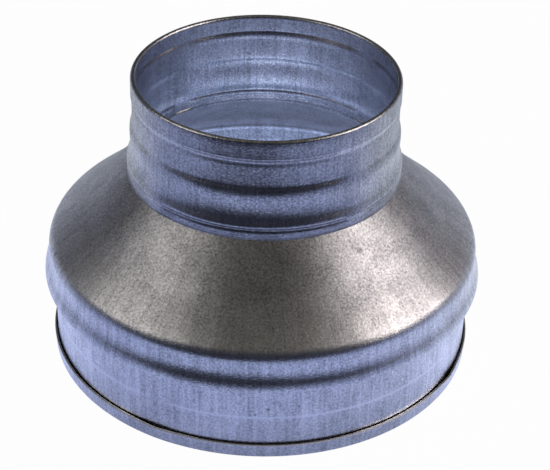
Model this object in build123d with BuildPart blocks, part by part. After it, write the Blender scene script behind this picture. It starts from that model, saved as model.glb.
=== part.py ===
"""Round duct reducer, drawn from one galvanised sheet: a wide socket, a dome and a narrow spigot above.

Four jaws press a band, a ring and a groove into the spigot, and a band into the socket. Between two
jaws the sheet keeps the shape that it was drawn to. The origin is at the middle of the wide end, on its
folded edge, with +Z along the duct and the front at -Y. Sizes are in millimetres and degrees.
"""
import os
from math import cos, degrees, hypot, pi, radians, sin

from build123d import *

# The sheet, and how far the bend from the dome down to the collar is flattened on each side of its corner
SHEET = 0.8
SHOULDER_FLAT = 0.8

# Radii of the two ends, where other ducts meet the part: inside the socket and outside the spigot
SOCKET_RADIUS = 80.1
SPIGOT_RADIUS = 50.2

# Steps out from those two walls, and the step back in from the foot of the spigot to the lip
BEAD_RISE = 3.85
COLLAR_RISE = 1.8
NECK_TAPER = 2.85
LIP_STEP = 0.55

# Heights of the stretches, from the folded edge up to the rim
SKIRT_HEIGHT = 17.2
SOCKET_BAND_HEIGHT = 11.8
BEAD_LAND_HEIGHT = 0.8
BEAD_UNDERSIDE_HEIGHT = 3.0
BEAD_FLARE_HEIGHT = 4.8
COLLAR_HEIGHT = 7.6
DOME_LOWER_HEIGHT = 12.8
DOME_UPPER_HEIGHT = 16.9
LIP_HEIGHT = 1.7
NECK_GROOVE_HEIGHT = 2.9
NECK_FLARE_HEIGHT = 9.0
NECK_RING_HEIGHT = 3.7
NECK_BAND_HEIGHT = 14.7
LEAD_IN_HEIGHT = 7.1

# The rim of the spigot, rolled inwards to a small round with flats
RIM_ROUND = 1.0
RIM_FLATS = 6

# The fold along the wide end, turned outwards, with its lower corners flattened
HEM_HEIGHT = 6.4
HEM_GAP = 0.15
HEM_LEAN = 0.2
FOLD_CHAMFER = 0.5

# How far in from a straight cone the ring lies where the dome's two cones meet
DOME_HOLLOW = 0.3

# The jaws: their number, the ribs of sheet left between them, and where those stand round the axis
JAWS = 4
JAW_GAP = 9.0
NECK_GAP_TURN = -50.0
SOCKET_GAP_TURN = -27.5

# The spigot under a jaw: a crimp at its head, a straight band, a step out to a ring, a flare, and a groove
# above the lip
CRIMP_HEIGHT = 1.4
CRIMP_DEPTH = 0.4
BAND_HEAD_DEPTH = 0.55
BAND_FOOT_DEPTH = 1.55
NECK_STEP_HEIGHT = 3.5
RING_DEPTH = 0.43
FLARE_DEPTH = 1.06
FLARE_FOOT_DEPTH = 0.05
FLARE_STEPS = 3
GROOVE_FLANK_HEIGHT = 0.9
GROOVE_DEPTH = 0.43

# The socket's pressed band, and the creases at its head and foot
SOCKET_BAND_DEPTH = 0.2
CREASE_HEIGHT = 0.8

# Outer radii
wall_radius = SOCKET_RADIUS + SHEET
bead_radius = wall_radius + BEAD_RISE
collar_radius = wall_radius + COLLAR_RISE
neck_foot_radius = SPIGOT_RADIUS + NECK_TAPER
lip_radius = neck_foot_radius - LIP_STEP

# Levels of the stretches' ends
skirt_top = SKIRT_HEIGHT
socket_band_top = skirt_top + SOCKET_BAND_HEIGHT
underside_foot = socket_band_top + BEAD_LAND_HEIGHT
bead_level = underside_foot + BEAD_UNDERSIDE_HEIGHT
flare_top = bead_level + BEAD_FLARE_HEIGHT
shoulder_level = flare_top + COLLAR_HEIGHT
dome_ring_level = shoulder_level + DOME_LOWER_HEIGHT
lip_foot = dome_ring_level + DOME_UPPER_HEIGHT
lip_top = lip_foot + LIP_HEIGHT
neck_foot = lip_top + NECK_GROOVE_HEIGHT
neck_height = NECK_FLARE_HEIGHT + NECK_RING_HEIGHT + NECK_BAND_HEIGHT
band_top = neck_foot + neck_height
rim_top = band_top + LEAD_IN_HEIGHT
rim_level = rim_top - RIM_ROUND * cos(pi / RIM_FLATS)


def meridian(turn):
    """The plane through the axis at that turn from the front, its x out from the axis and its y up."""
    angle = radians(turn - 90)
    return Plane(origin=(0, 0, 0), x_dir=(cos(angle), sin(angle), 0), z_dir=(sin(angle), -cos(angle), 0))


def beside(line, depth):
    """The line at that depth inside a line that runs down the sheet's outer side, with mitred corners."""
    normals = []
    for (r0, z0), (r1, z1) in zip(line, line[1:]):
        run = hypot(r1 - r0, z1 - z0)
        normals.append(((z1 - z0) / run, (r0 - r1) / run))
    shifted = [(line[0][0] - depth, line[0][1])]
    for (r, z), (ra, za), (rb, zb) in zip(line[1:], normals, normals[1:]):
        reach = depth / (1 + ra * rb + za * zb)
        shifted.append((r + reach * (ra + rb), z + reach * (za + zb)))
    shifted.append((line[-1][0] - depth, line[-1][1]))
    return shifted


def between(turn, line, other):
    """The face on one meridian between two lines that run the same way."""
    plane = meridian(turn)
    corners = [plane.from_local_coords((r, z, 0)) for r, z in (*line, *reversed(other))]
    return Face(Wire.make_polygon(corners))


def press(drawn, pressed, radius, gap_turn):
    """Moves the sheet in to the pressed line under each jaw: filled inside, then cut on the outside."""
    pitch = 360 / JAWS
    gap = degrees(JAW_GAP / radius)
    flank = degrees(SHEET / radius)
    inside = beside(pressed, SHEET)
    middle = beside(drawn, SHEET / 2)
    outside = beside(drawn, -SHEET)
    starts = [gap_turn + gap / 2 + jaw * pitch for jaw in range(JAWS)]
    for start in starts:
        face = between(start - flank, inside, middle)
        revolve(face, axis=Axis.Z, revolution_arc=pitch - gap + 2 * flank)
    for start in starts:
        face = between(start, pressed, outside)
        revolve(face, axis=Axis.Z, revolution_arc=pitch - gap, mode=Mode.SUBTRACT)


# Radii of the fold's leaf at the wide end
hem_inside = wall_radius + HEM_GAP
hem_outside = hem_inside + SHEET

# The sheet's outer side as it was drawn, from the rim down
dome_share = DOME_LOWER_HEIGHT / (DOME_LOWER_HEIGHT + DOME_UPPER_HEIGHT)
dome_cone_radius = collar_radius + dome_share * (lip_radius - collar_radius)
dome_ring = (dome_cone_radius - DOME_HOLLOW, dome_ring_level)
shoulder = (collar_radius, shoulder_level)
drawn_line = [
    (SPIGOT_RADIUS, rim_level),
    (SPIGOT_RADIUS, band_top),
    (neck_foot_radius, neck_foot),
    (lip_radius, lip_top),
    (lip_radius, lip_foot),
    dome_ring,
    shoulder,
    (collar_radius, flare_top),
    (bead_radius, bead_level),
    (wall_radius, underside_foot),
    (wall_radius, SHEET),
]

# The spigot's pressed line, by the drop from its head, then down the groove to the lip
flare_steps = [step / FLARE_STEPS for step in range(FLARE_STEPS + 1)]
ring_foot_drop = NECK_BAND_HEIGHT + NECK_RING_HEIGHT
neck_drops = [0, CRIMP_HEIGHT / 2, CRIMP_HEIGHT, NECK_BAND_HEIGHT - NECK_STEP_HEIGHT, NECK_BAND_HEIGHT]
neck_drops += [ring_foot_drop + step * NECK_FLARE_HEIGHT for step in flare_steps]
neck_depths = [0, CRIMP_DEPTH, BAND_HEAD_DEPTH, BAND_FOOT_DEPTH, RING_DEPTH]
neck_depths += [FLARE_DEPTH + (FLARE_FOOT_DEPTH - FLARE_DEPTH) * step ** 3 for step in flare_steps]
neck_depths += [GROOVE_DEPTH, 0]
taper = NECK_TAPER / neck_height
groove_radius = neck_foot_radius - LIP_STEP * GROOVE_FLANK_HEIGHT / NECK_GROOVE_HEIGHT
neck_drawn = [(SPIGOT_RADIUS + drop * taper, band_top - drop) for drop in neck_drops]
neck_drawn += [(groove_radius, neck_foot - GROOVE_FLANK_HEIGHT), (lip_radius, lip_top)]
neck_pressed = [(r - depth, z) for (r, z), depth in zip(neck_drawn, neck_depths)]

# The socket's pressed band, between its two creases
socket_levels = [socket_band_top, socket_band_top - CREASE_HEIGHT, skirt_top + CREASE_HEIGHT, skirt_top]
socket_depths = [0, SOCKET_BAND_DEPTH, SOCKET_BAND_DEPTH, 0]
socket_drawn = [(wall_radius, level) for level in socket_levels]
socket_pressed = [(wall_radius - depth, level) for depth, level in zip(socket_depths, socket_levels)]

with BuildPart() as reducer:
    # The sheet as drawn: down its outer side and back up its inner side, with the bend at the shoulder
    with BuildSketch(Plane.XZ) as section:
        drawn_inside = beside(drawn_line, SHEET)
        with BuildLine():
            Polyline(*drawn_line, *reversed(drawn_inside), close=True)
        make_face()
        for corner in (shoulder, drawn_inside[drawn_line.index(shoulder)]):
            chamfer(section.vertices().sort_by_distance(corner)[0], SHOULDER_FLAT)
        # The fold, outwards and up
        with BuildLine():
            Polyline(
                (SOCKET_RADIUS, SHEET),
                (SOCKET_RADIUS, FOLD_CHAMFER),
                (SOCKET_RADIUS + FOLD_CHAMFER, 0),
                (hem_outside - FOLD_CHAMFER, 0),
                (hem_outside, FOLD_CHAMFER),
                (hem_outside + HEM_LEAN, HEM_HEIGHT),
                (hem_inside + HEM_LEAN, HEM_HEIGHT),
                (hem_inside, SHEET),
                close=True,
            )
        make_face()
        # The rim
        with Locations((SPIGOT_RADIUS - RIM_ROUND, rim_level)):
            RegularPolygon(RIM_ROUND, RIM_FLATS)
    revolve(axis=Axis.Z)

    press(neck_drawn, neck_pressed, neck_foot_radius, NECK_GAP_TURN)
    press(socket_drawn, socket_pressed, wall_radius, SOCKET_GAP_TURN)

reducer.part.label = "reducer"
os.makedirs("parts", exist_ok=True)
export_step(reducer.part, "parts/reducer.step")
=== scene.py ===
# %% [markdown]
# # A duct reducer in galvanised sheet
#
# A reducer joins a wide round duct to a narrow one. This one is a single sheet of zinc-coated steel that
# a press drew into a dome with a wide socket below and a narrow spigot above. Segmented jaws then pressed
# bands into both ends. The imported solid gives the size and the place, and this lesson makes the sheet
# that is seen: one line, spun round, pressed, and given its thickness.

# %% Load the frame
from math import atan2, cos, degrees, hypot, pi, radians, sin, tan

import bmesh
import bpy
from mathutils import Matrix, Vector


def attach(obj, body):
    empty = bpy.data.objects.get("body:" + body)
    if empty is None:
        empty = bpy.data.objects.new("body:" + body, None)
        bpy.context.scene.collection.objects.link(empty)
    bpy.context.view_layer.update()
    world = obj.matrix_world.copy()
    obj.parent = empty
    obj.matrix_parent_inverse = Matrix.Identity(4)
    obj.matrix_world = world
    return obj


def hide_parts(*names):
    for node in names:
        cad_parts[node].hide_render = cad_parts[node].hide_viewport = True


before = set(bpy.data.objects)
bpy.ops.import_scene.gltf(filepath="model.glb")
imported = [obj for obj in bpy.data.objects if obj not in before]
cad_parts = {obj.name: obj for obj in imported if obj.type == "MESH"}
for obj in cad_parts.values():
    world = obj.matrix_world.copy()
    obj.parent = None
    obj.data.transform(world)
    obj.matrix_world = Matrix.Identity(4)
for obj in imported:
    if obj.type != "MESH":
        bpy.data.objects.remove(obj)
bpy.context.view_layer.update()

MM = 0.001

# %% [markdown]
# ## The sheet's line
#
# A round sheet part is the same on every side, so its form is one line. The line could be a curve with a
# screw modifier, but a few mesh vertices are easier to bend and to divide. The line runs down the outer
# side of the sheet: from the rolled rim, down the spigot, out over the lip, down the dome and the collar,
# out to the bead, down the socket, and round the fold at the foot. Each corner is a radius, a height and
# the radius of its bend. The dome's ring and the bead have wide bends, as a deep-drawn sheet does, and the
# lip and the fold have tight ones.

# %% Corners of the line, in millimetres
SHEET = 0.8
RIM_ROUND = 1.0
FOLD_ROUND = 0.075
SPIGOT_RADIUS = 50.2
NECK_FOOT_RADIUS = 53.05
LIP_RADIUS = 52.5
LIP_TUCK = 0.5
DOME_RING_RADIUS = 68.7
COLLAR_RADIUS = 82.7
COLLAR_FLARE = 0.3
BEAD_RADIUS = 84.7
WALL_RADIUS = 80.9
RIM_TOP = 114.0
BAND_TOP = 106.9
NECK_FOOT = 79.5
LIP_TOP = 76.6
LIP_UNDERCUT = 75.5
LIP_FOOT = 74.8
DOME_RING = 58.0
SHOULDER = 46.4
COLLAR_FOOT = 37.85
BEAD_TOP = 33.75
BEAD_LOW = 32.2
BEAD_FOOT = 29.8
HEM_TOP = 5.75
HEM_LEAN = 0.35

curl_radius = SPIGOT_RADIUS - 2 * RIM_ROUND
leaf_radius = WALL_RADIUS + 2 * FOLD_ROUND
corners = [
    (curl_radius, RIM_TOP - 1.5 * RIM_ROUND, 0),
    (curl_radius, RIM_TOP, RIM_ROUND),
    (SPIGOT_RADIUS, RIM_TOP, RIM_ROUND),
    (SPIGOT_RADIUS, BAND_TOP, 2.0),
    (NECK_FOOT_RADIUS, NECK_FOOT, 0.5),
    (LIP_RADIUS, LIP_TOP, 0.6),
    (LIP_RADIUS, LIP_UNDERCUT, 0.5),
    (LIP_RADIUS - LIP_TUCK, LIP_FOOT, 0.15),
    (DOME_RING_RADIUS, DOME_RING, 40.0),
    (COLLAR_RADIUS, SHOULDER, 6.0),
    (COLLAR_RADIUS + COLLAR_FLARE, COLLAR_FOOT, 11.0),
    (BEAD_RADIUS, BEAD_TOP, 11.0),
    (BEAD_RADIUS, BEAD_LOW, 0.9),
    (WALL_RADIUS, BEAD_FOOT, 1.0),
    (WALL_RADIUS, SHEET, FOLD_ROUND),
    (leaf_radius, SHEET, FOLD_ROUND),
    (leaf_radius + HEM_LEAN, HEM_TOP, 0),
]
print("corners", len(corners))

# %% [markdown]
# ## Bends
#
# Sheet can't turn a sharp corner: it bends over the round edge of a die. A bend here is a bevel on one
# vertex of the line. Its offset is the length of the tangent, which is the radius times the tangent of
# half the turn. The share below 1 keeps two bends that meet from sharing a vertex.

# %% Draw and bend the line
BEND_STEPS = 5
TANGENT_SHARE = 0.995
bm = bmesh.new()
line = [bm.verts.new((r * MM, 0, z * MM)) for r, z, bend in corners]
for pair in zip(line, line[1:]):
    bm.edges.new(pair)
places = [Vector((r, z)) for r, z, bend in corners]
for index, (r, z, bend) in enumerate(corners):
    if bend:
        turn = (places[index] - places[index - 1]).angle(places[index + 1] - places[index])
        tangent = TANGENT_SHARE * bend * tan(turn / 2) * MM
        bmesh.ops.bevel(bm, geom=[line[index]], offset=tangent, offset_type="OFFSET", segments=BEND_STEPS,
                        profile=0.5, affect="VERTICES", material=-1)
print("line", len(bm.verts), "vertices")

# %% [markdown]
# ## Rows
#
# The jaws press fine steps into the sheet, and a mesh can only show a step that its rows are close enough
# to follow. A subdivision all over would waste faces on the plain dome, so the line is cut at the levels
# below, and from each level up its runs are divided into rows of the height beside it.

# %% Divide the runs into rows
ROWS = [(0.0, 2.2), (HEM_TOP, 2.6), (16.9, 0.4), (18.3, 2.4), (27.9, 0.4), (29.3, 1.3), (46.0, 3.2),
        (74.7, 0.4), (76.6, 0.3), (83.4, 0.7), (91.4, 0.4), (96.8, 1.5), (103.4, 0.35), (107.5, 2.2)]
for level, row in ROWS[1:]:
    bmesh.ops.bisect_plane(bm, geom=bm.verts[:] + bm.edges[:], plane_co=(0, 0, level * MM),
                           plane_no=(0, 0, 1))
for edge in list(bm.edges):
    middle = (edge.verts[0].co.z + edge.verts[1].co.z) / 2 / MM
    row_height = [row for level, row in ROWS if level <= max(middle, 0)][-1]
    cuts = int(edge.calc_length() / MM / row_height)
    if cuts:
        bmesh.ops.subdivide_edges(bm, edges=[edge], cuts=cuts)
print("line", len(bm.verts), "vertices with rows")

# %% [markdown]
# ## Spinning the sheet
#
# The press draws the sheet over a round punch. Spin does the same for the line: it carries it once round
# the axis and merges its end with its start. Its many steps keep the rim round in a close view. The
# normals are set before the sheet gets its thickness, because the thickness follows them.

# %% Spin
STEPS = 224
SAME_PLACE = 0.002 * MM
bmesh.ops.spin(bm, geom=bm.verts[:] + bm.edges[:], cent=(0, 0, 0), axis=(0, 0, 1), angle=2 * pi,
               steps=STEPS, use_merge=True)
bmesh.ops.remove_doubles(bm, verts=bm.verts[:], dist=SAME_PLACE)
bmesh.ops.recalc_face_normals(bm, faces=bm.faces[:])
outward = sum(face.normal.dot(face.calc_center_median() * Vector((1, 1, 0))) for face in bm.faces)
print("spun", len(bm.faces), "faces, outward" if outward > 0 else "faces, inward")

# %% [markdown]
# ## What a jaw does
#
# Four jaws close on the spigot and four on the socket. Under a jaw the sheet moves in, and between two
# jaws a rib is left. Each table gives how deep the sheet is pressed at a height. On the spigot the soft
# table has the straight band, the ring and the flare, and the sharp table has the crimp below the rim and
# the groove above the lip. The rib's own table is lower, because the sheet between two jaws is pulled in
# with its neighbours. A soft mark fades out over a long way and a sharp one over a short way.

# %% Tables of the pressing, in millimetres
NECK_SOFT = [(106.9, 0), (105.0, 0.52), (103.0, 0.76), (100.6, 1.03), (97.4, 1.33), (95.9, 1.4), (95.4, 1.38),
             (95.0, 1.27), (94.6, 1.13), (94.2, 1.03), (93.8, 0.97), (93.4, 0.93), (92.8, 0.91), (92.0, 0.94),
             (91.0, 1.05), (90.0, 1.2), (89.2, 1.33), (88.0, 1.5), (87.3, 1.58), (86.5, 1.64), (85.5, 1.69),
             (84.6, 1.68), (83.6, 1.62), (82.9, 1.52), (82.3, 1.39), (81.8, 1.25), (81.3, 1.11), (80.9, 1.01),
             (80.5, 0.94), (80.2, 0.91), (79.5, 0.78), (78.0, 0.42), (76.6, 0.2), (75.4, 0.15), (74.8, 0)]
NECK_SHARP = [(107.4, 0), (106.7, -0.06), (105.4, 0.16), (104.6, 0.1), (103.6, 0), (80.2, 0), (79.7, 0.15),
              (79.3, 0.35), (78.9, 0.51), (78.5, 0.51), (78.1, 0.41), (77.7, 0.27), (76.6, 0.22),
              (75.4, 0.27), (74.8, 0)]
NECK_RIB = [(106.9, 0), (105.0, 0.45), (100.6, 0.85), (97.0, 0.98), (92.0, 0.9), (86.0, 1.2), (83.0, 1.1),
            (81.0, 0.75), (79.5, 0.5), (78.0, 0.25), (76.6, 0)]
SOCKET_SHARP = [(29.2, 0), (28.4, 0.16), (18.3, 0.16), (17.0, 0)]
# Painted highlight along the socket's lower crease, where the jaws also rub the zinc: its strength by height.
RUB_HIGHLIGHT = [(18.2, 0), (17.8, 0.8), (17.4, 0.8), (16.9, 0)]
JAW_PITCH = 90
NECK_GAP_TURN = -50.0
SOCKET_GAP_TURN = -27.5
GAP_HALF = 5.0
SOFT_FADE = 15.0
SHARP_FADE = 2.4
ROUNDING = 0.12


def depth_at(table, z):
    """How deep the sheet is pressed at that height, rounded over a little of the height."""
    samples = (-ROUNDING, 0, ROUNDING)
    total = 0
    for dz in samples:
        for (z1, d1), (z0, d0) in zip(table, table[1:]):
            if z0 <= z + dz <= z1:
                total += d0 + (d1 - d0) * (z + dz - z0) / (z1 - z0)
                break
    return total / len(samples)


def under_jaw(turn, radius, gap_turn, fade):
    """One under a jaw, none on a rib, and a smooth fade between them."""
    away = abs((turn - gap_turn + JAW_PITCH / 2) % JAW_PITCH - JAW_PITCH / 2)
    step = (radians(away) * radius - GAP_HALF) / fade + 0.5
    step = min(max(step, 0), 1)
    return step * step * (3 - 2 * step)


print("deepest on the spigot", max(depth for level, depth in NECK_SOFT), "mm")

# %% [markdown]
# ## Pressing the sheet
#
# The marks could be cut out and set in as pieces, but the real ones are pressed into one sheet. So the
# rows of the spun sheet are moved in, which keeps it closed. The fold's leaf isn't held between two jaws,
# so it stands out a little there. The jaws' lower edge also rubs the zinc along the socket's lower crease,
# and a painted highlight lightens it there. That is kept as an attribute of the mesh, for the finish to read.

# %% Press the sheet
HEM_BULGE = 0.6
rub_highlight = bm.verts.layers.float.new("rub_highlight")
for vert in bm.verts:
    radius = hypot(vert.co.x, vert.co.y) / MM
    turn = degrees(atan2(vert.co.x, -vert.co.y))
    z = vert.co.z / MM
    neck_jaw = under_jaw(turn, radius, NECK_GAP_TURN, SOFT_FADE)
    socket_jaw = under_jaw(turn, radius, SOCKET_GAP_TURN, SOFT_FADE)
    neck = depth_at(NECK_SOFT, z) * neck_jaw + depth_at(NECK_RIB, z) * (1 - neck_jaw)
    neck += depth_at(NECK_SHARP, z) * under_jaw(turn, radius, NECK_GAP_TURN, SHARP_FADE)
    socket = depth_at(SOCKET_SHARP, z) * under_jaw(turn, radius, SOCKET_GAP_TURN, SHARP_FADE)
    if z < HEM_TOP + ROUNDING and radius > WALL_RADIUS + FOLD_ROUND:
        socket = -HEM_BULGE * z / HEM_TOP * (1 - socket_jaw)
    # Painted highlight on the crease under the jaws, where they also rub the zinc.
    vert[rub_highlight] = depth_at(RUB_HIGHLIGHT, z) * socket_jaw
    share = 1 - (neck + socket) / radius
    vert.co.x *= share
    vert.co.y *= share
print("rub_highlighted", sum(vert[rub_highlight] > 0 for vert in bm.verts), "of", len(bm.verts), "vertices")

# %% [markdown]
# ## Thickness
#
# The sheet so far has no thickness. Solidify adds the inner skin and closes the two free edges: the end
# of the rolled rim and the cut edge of the fold. A solidify modifier would do the same, but the operator
# leaves a mesh whose edges can be worked on next.

# %% Give the sheet its thickness
bmesh.ops.recalc_face_normals(bm, faces=bm.faces[:])
bmesh.ops.solidify(bm, geom=bm.faces[:], thickness=SHEET * MM)
print("closed" if all(edge.is_manifold for edge in bm.edges) else "open", len(bm.faces), "faces")

# %% [markdown]
# ## The fold's cut edge
#
# The shears that cut the blank round its corner over and smear the zinc. On the fold that corner faces up
# and out, and shows as a thin light line above the dark gap. A small bevel makes it, and its faces take a
# second finish. The corner is found where a face that looks out meets a face that looks up.

# %% Round the cut edge
BURR = 0.25
BURR_STEPS = 2
FACING = 0.7
bm.normal_update()
corner_loop = []
for edge in bm.edges:
    middle = (edge.verts[0].co + edge.verts[1].co) / 2
    out = Vector((middle.x, middle.y, 0)).normalized()
    if abs(middle.z / MM - HEM_TOP) < SHEET / 2 and middle.length / MM > leaf_radius:
        looks_out = max(face.normal.dot(out) for face in edge.link_faces)
        looks_up = max(face.normal.z for face in edge.link_faces)
        if min(looks_out, looks_up) > FACING:
            corner_loop.append(edge)
made = bmesh.ops.bevel(bm, geom=corner_loop, offset=BURR * MM, offset_type="OFFSET", segments=BURR_STEPS,
                       profile=0.5, affect="EDGES", material=-1)
for face in made["faces"]:
    face.material_index = 1
print("cut edge", len(corner_loop), "edges,", len(made["faces"]), "faces")

# %% [markdown]
# ## The finished mesh
#
# The sheet is smooth to the eye, and only its cut edges are sharp. So all faces are shaded smooth, and an
# edge that turns by more than the angle below stays crisp. The object stays at the origin, as the solid is.

# %% Make the object
SHARP_EDGE = radians(50)
mesh = bpy.data.meshes.new("reducer_sheet")
bm.to_mesh(mesh)
bm.free()
mesh.shade_smooth()
mesh.set_sharp_from_angle(angle=SHARP_EDGE)
sheet = bpy.data.objects.new("reducer_sheet", mesh)
bpy.context.scene.collection.objects.link(sheet)
low = [min(v.co[i] for v in mesh.vertices) / MM for i in range(3)]
high = [max(v.co[i] for v in mesh.vertices) / MM for i in range(3)]
print("sheet", len(mesh.polygons), "faces", [round(c, 2) for c in low + high])

# %% [markdown]
# ## Nodes and colours
#
# A material is a tree of nodes. One small function adds a node, sets its properties, and fills its input
# sockets: with a value, with another node's output, or with a node, whose first output in use is taken.
# Colours are written as they look on a screen and turned into the linear values that light adds up in.

# %% Helpers for finishes


def linear(hexcode):
    """An sRGB hex colour as linear values."""
    values = [int(hexcode[i:i + 2], 16) / 255 for i in (1, 3, 5)]
    return [v / 12.92 if v <= 0.04045 else ((v + 0.055) / 1.055) ** 2.4 for v in values] + [1]


def add(tree, kind, sockets=None, **settings):
    """Adds a node with its settings, and sets or links its input sockets."""
    node = tree.nodes.new(kind)
    for name, value in settings.items():
        setattr(node, name, value)
    for name, value in (sockets or {}).items():
        if isinstance(value, bpy.types.Node):
            value = next(output for output in value.outputs if output.enabled)
        if isinstance(value, bpy.types.NodeSocket):
            tree.links.new(value, node.inputs[name])
        else:
            node.inputs[name].default_value = value
    return node


def empty_tree(owner):
    """The owner's node tree, cleared."""
    owner.use_nodes = True
    owner.node_tree.nodes.clear()
    return owner.node_tree


print("mid grey", [round(v, 3) for v in linear("#808080")])

# %% [markdown]
# ## Galvanised steel: crystals and streaks
#
# Hot-dip zinc is a grey metal whose skin is mottled by small crystals. Drawing leaves streaks from the
# rim to the fold where the sheet slid along a die, so they are strong on the walls and faint on the dome.
# The crystals are noise in space. The streaks are noise on a stretched place: the direction round the axis
# is scaled up, and the height scaled down. The smallest crystals would be finer than a pixel, so they are
# drawn somewhat coarser to show. Heights are in metres here, as Blender has them.

# %% Textures of the zinc
GRAIN = 0.8 * MM
FINE_GRAIN = 0.42 * MM
CLOUD = 9 * MM
CLOUD_SHARE = 0.3
STREAK_WIDTH = 1.6
STREAK_LENGTH = 25 * MM
streak_turn = STREAK_WIDTH / COLLAR_RADIUS
zinc = bpy.data.materials.new("galvanised_steel_drawn")
tree = empty_tree(zinc)
place = add(tree, "ShaderNodeTexCoord").outputs["Object"]
parts = add(tree, "ShaderNodeSeparateXYZ", {"Vector": place})
height = parts.outputs["Z"]
grain = add(tree, "ShaderNodeTexNoise", {"Vector": place, "Scale": 1 / GRAIN, "Detail": 3.0,
                                         "Roughness": 0.7})
fine = add(tree, "ShaderNodeTexNoise", {"Vector": place, "Scale": 1 / FINE_GRAIN, "Detail": 1.0})
cloud = add(tree, "ShaderNodeTexNoise", {"Vector": place, "Scale": 1 / CLOUD, "Detail": 3.0})
haze = add(tree, "ShaderNodeMath", {0: cloud, 1: CLOUD_SHARE}, operation="MULTIPLY")
flat = add(tree, "ShaderNodeCombineXYZ", {"X": parts.outputs["X"], "Y": parts.outputs["Y"]})
around = add(tree, "ShaderNodeVectorMath", {0: flat}, operation="NORMALIZE")
spread = add(tree, "ShaderNodeVectorMath", {0: around, "Scale": 1 / streak_turn}, operation="SCALE")
lift = add(tree, "ShaderNodeMath", {0: height, 1: 1 / STREAK_LENGTH}, operation="MULTIPLY")
rise = add(tree, "ShaderNodeCombineXYZ", {"Z": lift})
along = add(tree, "ShaderNodeVectorMath", {0: spread, 1: rise}, operation="ADD")
streaks = add(tree, "ShaderNodeTexNoise", {"Vector": along, "Scale": 1.0, "Detail": 3.0})
print("textures", len(tree.nodes), "nodes")

# %% [markdown]
# ## Galvanised steel: colour and gloss
#
# A bare metal has no colour of its own under the reflections: its colour is the tint of what it mirrors.
# So the crystals and streaks lighten and darken that tint, the light ones are smoother, and a shallow bump
# lets the crystals glitter. The dies smoothed the walls more than the dome, so the walls mirror the floor
# in clear bands and the dome spreads the lamps into broad grainy glows. A painted highlight lightens the
# socket's lower crease, where the jaws also rub the zinc. Three dark marks come from handling, and a
# fourth, at the left of the shoulder, is a painted dark reflection.

# %% Finish of the zinc
DARK_ZINC = "#86878E"
LIGHT_ZINC = "#F2F3F8"
# Lighter zinc for the painted highlight on the crease the jaws rub.
RUB_HIGHLIGHT_ZINC = "#F0F1F6"
STAIN_AND_REFLECTION_ZINC = "#4A4B50"
DOME_ROUGHNESS = 0.36
WALL_ROUGHNESS = 0.26
LIGHT_ROUGHNESS_DROP = -0.06
BUMP_HEIGHT = 0.06 * MM
STAIN_AND_REFLECTION_SHARE = 0.55
# The first three are marks from handling; the last, at the left of the shoulder, is a painted dark
# reflection. Each gives x, y, z and size in millimetres.
STAINS_AND_DARK_REFLECTION = [(35.1, -47.1, 68.6, 1.7), (3.5, -80.8, 21.4, 0.9), (-1.1, -80.9, 19.0, 0.7),
         (-77.8, -22.9, 46.8, 1.5)]
skirt_pull = add(tree, "ShaderNodeMapRange", {"Value": height, "From Min": 0.062, "From Max": 0.042,
                                              "To Min": 0.12, "To Max": 0.5})
neck_pull = add(tree, "ShaderNodeMapRange", {"Value": height, "From Min": 0.076, "From Max": 0.080,
                                             "To Max": 0.35})
pull = add(tree, "ShaderNodeMath", {0: skirt_pull, 1: neck_pull}, operation="MAXIMUM")
drag = add(tree, "ShaderNodeMath", {0: streaks, 1: pull}, operation="MULTIPLY")
spots = add(tree, "ShaderNodeMath", {0: grain, 1: haze}, operation="ADD")
pattern = add(tree, "ShaderNodeMath", {0: spots, 1: drag}, operation="ADD")
tone = add(tree, "ShaderNodeMapRange", {"Value": pattern, "From Min": 0.56, "From Max": 1.08})
zinc_tint = add(tree, "ShaderNodeMix", {"Factor": tone, "A": linear(DARK_ZINC), "B": linear(LIGHT_ZINC)},
                data_type="RGBA")
# The painted highlight on the crease the jaws rub lightens the tint.
rub_highlight_mask = add(tree, "ShaderNodeAttribute", attribute_name="rub_highlight").outputs["Fac"]
rub_highlight_tint = add(tree, "ShaderNodeMix", {"Factor": rub_highlight_mask, "A": zinc_tint, "B": linear(RUB_HIGHLIGHT_ZINC)},
                data_type="RGBA")
stain_and_reflection = 0.0
for x, y, z, size in STAINS_AND_DARK_REFLECTION:
    away = add(tree, "ShaderNodeVectorMath", {0: place, 1: (x * MM, y * MM, z * MM)}, operation="DISTANCE")
    spot = add(tree, "ShaderNodeMapRange", {"Value": away, "From Min": size * MM, "From Max": size * MM / 2,
                                            "To Max": STAIN_AND_REFLECTION_SHARE})
    stain_and_reflection = add(tree, "ShaderNodeMath", {0: spot, 1: stain_and_reflection}, operation="MAXIMUM")
# Handling marks and the painted dark reflection darken the tint.
tint = add(tree, "ShaderNodeMix", {"Factor": stain_and_reflection, "A": rub_highlight_tint, "B": linear(STAIN_AND_REFLECTION_ZINC)},
           data_type="RGBA")
wall = add(tree, "ShaderNodeMapRange", {"Value": height, "From Min": 0.048, "From Max": 0.044})
neck = add(tree, "ShaderNodeMapRange", {"Value": height, "From Min": 0.075, "From Max": 0.076})
slid = add(tree, "ShaderNodeMath", {0: wall, 1: neck}, operation="MAXIMUM")
die = add(tree, "ShaderNodeMapRange", {"Value": slid, "To Min": DOME_ROUGHNESS, "To Max": WALL_ROUGHNESS})
rough = add(tree, "ShaderNodeMath", {0: tone, 1: LIGHT_ROUGHNESS_DROP, 2: die}, operation="MULTIPLY_ADD")
relief = add(tree, "ShaderNodeMath", {0: grain, 1: fine}, operation="ADD")
bump = add(tree, "ShaderNodeBump", {"Height": relief, "Strength": 1.0, "Distance": BUMP_HEIGHT})
skin = add(tree, "ShaderNodeBsdfPrincipled", {"Base Color": tint, "Roughness": rough, "Normal": bump,
                                              "Metallic": 1.0})
add(tree, "ShaderNodeOutputMaterial", {"Surface": skin})
mesh.materials.append(zinc)
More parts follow.
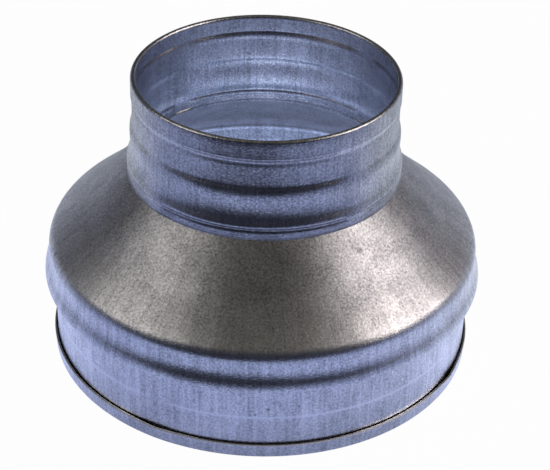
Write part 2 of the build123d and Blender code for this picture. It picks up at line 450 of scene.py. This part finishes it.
print("material", zinc.name, len(tree.nodes), "nodes")

# %% [markdown]
# ## The sheared edge
#
# Along the cut the zinc is smeared and torn, so it scatters light more than it mirrors. To the eye it is a
# thin pale line, even where the skin beside it mirrors something dark. A part-metal with a high roughness
# gives that.

# %% Finish of the cut edge
TORN_GRAIN = 0.8 * MM
cut = bpy.data.materials.new("galvanised_steel_sheared_edge")
tree = empty_tree(cut)
place = add(tree, "ShaderNodeTexCoord").outputs["Object"]
torn = add(tree, "ShaderNodeTexNoise", {"Vector": place, "Scale": 1 / TORN_GRAIN, "Detail": 2.0})
rough = add(tree, "ShaderNodeMapRange", {"Value": torn, "To Min": 0.5, "To Max": 0.7})
metal = add(tree, "ShaderNodeBsdfPrincipled", {"Base Color": linear("#E6E8F0"), "Roughness": rough,
                                               "Metallic": 0.4})
add(tree, "ShaderNodeOutputMaterial", {"Surface": metal})
mesh.materials.append(cut)
print("material", cut.name, len(tree.nodes), "nodes")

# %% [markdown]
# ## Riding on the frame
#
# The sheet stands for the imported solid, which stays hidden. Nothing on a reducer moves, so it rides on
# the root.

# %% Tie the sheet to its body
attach(sheet, "root")
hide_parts("reducer")
print("rides", sheet.name)

# %% [markdown]
# ## The studio
#
# A bare metal shows the room around it, so the room matters as much as the finish. It has a pale floor,
# dark walls, a dim warm ceiling and two soft lights with weak ones behind. The floor is a plane, and the
# room is a drum with a lid. Neither is part of the reducer, and the room is hidden from the camera so that
# other views keep a pale background.

# %% Floor and room
FLOOR_HALF = 4.0
ROOM_RADIUS = 2.5
ROOM_HEIGHT = 2.2
ROOM_SIDES = 48


def stage_mesh(name, bm):
    """An object for the floor or the room, made from a bmesh."""
    made = bpy.data.meshes.new(name)
    bm.to_mesh(made)
    bm.free()
    obj = bpy.data.objects.new(name, made)
    bpy.context.scene.collection.objects.link(obj)
    return obj


bm = bmesh.new()
bmesh.ops.create_grid(bm, x_segments=1, y_segments=1, size=FLOOR_HALF)
floor = stage_mesh("floor", bm)
bm = bmesh.new()
bmesh.ops.create_cone(bm, cap_ends=False, segments=ROOM_SIDES, radius1=ROOM_RADIUS, radius2=ROOM_RADIUS,
                      depth=ROOM_HEIGHT)
bmesh.ops.translate(bm, verts=bm.verts[:], vec=(0, 0, ROOM_HEIGHT / 2))
rim = [e for e in bm.edges if e.is_boundary and all(v.co.z > ROOM_HEIGHT / 2 for v in e.verts)]
bmesh.ops.holes_fill(bm, edges=rim, sides=0)
room = stage_mesh("room", bm)
room.visible_camera = False
room.visible_shadow = False
print("staged", floor.name, room.name)

# %% [markdown]
# ## What the metal sees of the floor
#
# The camera sees a white card. The metal mirrors the same card with painted light and shade, as if it lay
# in the light: cool, dark towards the viewer, bright in a band in front, paler at the back, and a painted
# shadow close to the foot. Inside the reducer the painted light stands for light falling through the spigot:
# it reaches the near side of the floor, and the middle and the corner at the wall get painted shade. One
# ramp along the depth holds each of these, and factors by the distance from the axis fade them. Distances
# are in metres.

# %% Tones of the floor in the metal
FRONT = -0.30
BACK = 0.10
# Painted light and shade of the card outside the reducer, and below of the floor inside it, as the metal sees
# them.
FRONT_TO_BACK = [(-0.23, (0.045, 0.05, 0.075)), (-0.205, (0.25, 0.29, 0.46)), (-0.185, (0.46, 0.54, 0.86)),
                 (-0.155, (0.27, 0.32, 0.52)), (-0.105, (0.33, 0.38, 0.62)), (0.0, (0.48, 0.53, 0.74)),
                 (0.1, (0.60, 0.64, 0.74))]
NEAR = -0.05
FAR = 0.06
NEAR_TO_FAR = [(-0.05, (0.58, 0.68, 0.97)), (-0.006, (0.34, 0.41, 0.64)), (0.0182, (0.11, 0.14, 0.23)),
               (0.038, (0.16, 0.2, 0.32)), (0.06, (0.42, 0.51, 0.8))]
paint = bpy.data.materials.new("floor_white_card")
tree = empty_tree(paint)
place = add(tree, "ShaderNodeTexCoord").outputs["Object"]
parts = add(tree, "ShaderNodeSeparateXYZ", {"Vector": place})
depth = parts.outputs["Y"]
away = add(tree, "ShaderNodeVectorMath", {0: place}, operation="LENGTH")
tilt = add(tree, "ShaderNodeMapRange", {"Value": parts.outputs["X"], "From Min": -0.12, "From Max": 0.12,
                                        "To Min": -0.042, "To Max": 0.042})
lean = add(tree, "ShaderNodeMath", {0: tilt, 1: depth}, operation="ADD")
reach = add(tree, "ShaderNodeMapRange", {"Value": lean, "From Min": FRONT, "From Max": BACK})
outside = add(tree, "ShaderNodeValToRGB", {"Fac": reach})
inward = add(tree, "ShaderNodeMapRange", {"Value": depth, "From Min": NEAR, "From Max": FAR})
inside = add(tree, "ShaderNodeValToRGB", {"Fac": inward})
for ramp, start, end, tones in ((outside, FRONT, BACK, FRONT_TO_BACK), (inside, NEAR, FAR, NEAR_TO_FAR)):
    stops = ramp.color_ramp.elements
    while len(stops) < len(tones):
        stops.new(1.0)
    for stop, (distance, value) in zip(stops, tones):
        stop.position = (distance - start) / (end - start)
        stop.color = (*value, 1)
# Painted shadow close to the foot, in front.
foot = add(tree, "ShaderNodeMapRange", {"Value": away, "From Min": 0.083, "From Max": 0.125,
                                        "To Min": 0.5, "To Max": 1.0})
front = add(tree, "ShaderNodeMapRange", {"Value": depth, "From Min": -0.03, "From Max": -0.07})
shade = add(tree, "ShaderNodeMix", {"Factor": front, "A": 1.0, "B": foot})
near = add(tree, "ShaderNodeMapRange", {"Value": away, "From Min": 0.095, "From Max": 0.20,
                                        "To Min": 1.0, "To Max": 0.54})
far = add(tree, "ShaderNodeMapRange", {"Value": away, "From Min": 0.20, "From Max": 1.0,
                                       "To Min": 1.0, "To Max": 0.5})
close = add(tree, "ShaderNodeMath", {0: near, 1: shade}, operation="MULTIPLY")
falloff = add(tree, "ShaderNodeMath", {0: close, 1: far}, operation="MULTIPLY")
around_tone = add(tree, "ShaderNodeVectorMath", {0: outside, "Scale": falloff}, operation="SCALE")
# Painted shade in the corner at the wall, inside the reducer.
corner = add(tree, "ShaderNodeMapRange", {"Value": away, "From Min": 0.062, "From Max": 0.078,
                                          "To Min": 1.0, "To Max": 0.15})
within_tone = add(tree, "ShaderNodeVectorMath", {0: inside, "Scale": corner}, operation="SCALE")
within = add(tree, "ShaderNodeMapRange", {"Value": away, "From Min": 0.0795, "From Max": 0.0785})
tone = add(tree, "ShaderNodeMix", {"Factor": within, "A": around_tone, "B": within_tone}, data_type="RGBA")
print("floor tones", len(FRONT_TO_BACK), "outside", len(NEAR_TO_FAR), "inside")

# %% [markdown]
# ## The white card
#
# White card is matt, and to the eye it is a plain white ground. The camera sees it at a strength of 1,
# which is white, with a trace of the card itself, so the foot keeps a breath of shadow. Glossy and
# transmitted rays see the painted light and shade made above. All other light meets matt card.

# %% Finish of the floor
WHITE_SHARE = 0.98
MIRRORED_STRENGTH = 1.5
rays = add(tree, "ShaderNodeLightPath")
card = add(tree, "ShaderNodeBsdfDiffuse", {"Color": linear("#F2F3F6")})
glow = add(tree, "ShaderNodeEmission", {"Color": (1, 1, 1, 1), "Strength": 1.0})
cool = add(tree, "ShaderNodeEmission", {"Color": tone, "Strength": MIRRORED_STRENGTH})
seen = add(tree, "ShaderNodeMath", {0: rays.outputs["Is Camera Ray"], 1: WHITE_SHARE}, operation="MULTIPLY")
mirrored = add(tree, "ShaderNodeMath", {0: rays.outputs["Is Glossy Ray"],
                                        1: rays.outputs["Is Transmission Ray"]}, operation="MAXIMUM")
ground = add(tree, "ShaderNodeMixShader", {0: seen, 1: card, 2: glow})
surface = add(tree, "ShaderNodeMixShader", {0: mirrored, 1: ground, 2: cool})
add(tree, "ShaderNodeOutputMaterial", {"Surface": surface})
floor.data.materials.append(paint)
print("material", paint.name, len(tree.nodes), "nodes")

# %% [markdown]
# ## The room's walls
#
# The walls are no lamps: they glow weakly with painted light, for dull grey walls lit by what light is left.
# It is dark in front, which draws the dark bands on the spigot, the shoulder and the bead. It is paler low
# at the sides and the back, which draws the light outline, and dim and warm at the ceiling, which tints the
# dome. The world beyond is white, for the views in which the room isn't seen.

# %% Finish of the room and the world
# Colours of the walls' painted light.
FRONT_WALL = (0.03, 0.033, 0.05, 1)
SIDE_WALL = (0.24, 0.27, 0.38, 1)
BACK_WALL = (0.70, 0.74, 0.85, 1)
CEILING = (0.105, 0.10, 0.084, 1)
walls = bpy.data.materials.new("room_painted_glow")
tree = empty_tree(walls)
place = add(tree, "ShaderNodeTexCoord").outputs["Object"]
parts = add(tree, "ShaderNodeSeparateXYZ", {"Vector": place})
depth = parts.outputs["Y"]
height = parts.outputs["Z"]
side = add(tree, "ShaderNodeMapRange", {"Value": depth, "From Min": -1.9, "From Max": -0.3})
back = add(tree, "ShaderNodeMapRange", {"Value": depth, "From Min": 0.8, "From Max": 2.1})
drop = add(tree, "ShaderNodeMapRange", {"Value": height, "From Min": 0.05, "From Max": 0.36,
                                        "To Min": 1.0, "To Max": 0.0})
rise = add(tree, "ShaderNodeMapRange", {"Value": height, "From Min": 1.3, "From Max": 2.2})
pale = add(tree, "ShaderNodeMix", {"Factor": back, "A": SIDE_WALL, "B": BACK_WALL}, data_type="RGBA")
reach = add(tree, "ShaderNodeMath", {0: side, 1: drop}, operation="MULTIPLY")
lower = add(tree, "ShaderNodeMix", {"Factor": reach, "A": FRONT_WALL, "B": pale}, data_type="RGBA")
shade = add(tree, "ShaderNodeMix", {"Factor": rise, "A": lower, "B": CEILING}, data_type="RGBA")
dim = add(tree, "ShaderNodeEmission", {"Color": shade, "Strength": 1.0})
add(tree, "ShaderNodeOutputMaterial", {"Surface": dim})
room.data.materials.append(walls)
print("material", walls.name, len(tree.nodes), "nodes")

world = bpy.data.worlds.new("studio")
bpy.context.scene.world = world
tree = empty_tree(world)
sky = add(tree, "ShaderNodeBackground", {"Color": (1, 1, 1, 1), "Strength": 1.0})
add(tree, "ShaderNodeOutputWorld", {"Surface": sky})

# %% [markdown]
# ## Soft lights
#
# A broad lamp on each side makes the two glows on the dome, the right one stronger. Two wide weak lamps
# behind lift the dome's far flanks. Each has its turn from the front and its rise in degrees, its distance,
# width and height in metres, its power in watts and its tint.

# %% Lights
LIGHTS = [
    ("soft_left", -74, 37, 1.7, 1.3, 1.0, 3.9, "#FFF9F0"),
    ("soft_right", 83, 31, 1.7, 1.2, 1.2, 10.8, "#FFF3EC"),
    ("fill_right", 133, 14, 1.9, 2.0, 0.9, 1.0, "#FFF6F0"),
    ("fill_left", -133, 14, 1.9, 2.0, 0.9, 0.4, "#FFFAF4"),
]
for name, turn, rise, away, width, height, power, colour in LIGHTS:
    lamp = bpy.data.lights.new(name, "AREA")
    lamp.shape = "RECTANGLE"
    lamp.size = width
    lamp.size_y = height
    lamp.energy = power
    lamp.color = linear(colour)[:3]
    obj = bpy.data.objects.new(name, lamp)
    bpy.context.scene.collection.objects.link(obj)
    level = cos(radians(rise))
    aim = Vector((sin(radians(turn)) * level, -cos(radians(turn)) * level, sin(radians(rise))))
    obj.location = aim * away
    obj.rotation_euler = aim.to_track_quat("Z", "Y").to_euler()
    print("light", name, power, "W")

# %% [markdown]
# ## The camera
#
# The camera looks down at about a third of a right angle, from two thirds of a metre away, with a slight
# roll. Its lens is given by the focal length in pixels, which is what a fit to a photograph measures, and
# the shift places the object off the middle of the picture.

# %% Camera
RISE = radians(33.115)
ROLL = 0.02505
AWAY = 662.7 * MM
AIM = Vector((0, 0, 44.55 * MM))
FOCAL_PIXELS = 1700
PICTURE_WIDTH = 550
SENSOR_WIDTH = 36
back = Vector((0, -cos(RISE), sin(RISE)))
up = Vector((0, sin(RISE), cos(RISE)))
right = Vector((1, 0, 0))
across = right * cos(ROLL) + up * sin(ROLL)
upward = up * cos(ROLL) - right * sin(ROLL)
camera_data = bpy.data.cameras.new("camera")
camera_data.sensor_width = SENSOR_WIDTH
camera_data.lens = FOCAL_PIXELS * SENSOR_WIDTH / PICTURE_WIDTH
camera_data.shift_x = 0.02237
camera_data.shift_y = -0.00547
camera = bpy.data.objects.new("camera", camera_data)
bpy.context.scene.collection.objects.link(camera)
turned = Matrix((across, upward, back)).transposed().to_4x4()
camera.matrix_world = Matrix.Translation(AIM + back * AWAY) @ turned
bpy.context.scene.camera = camera
bpy.context.scene.view_settings.view_transform = "Standard"
print("lens", round(camera_data.lens, 1), "mm")
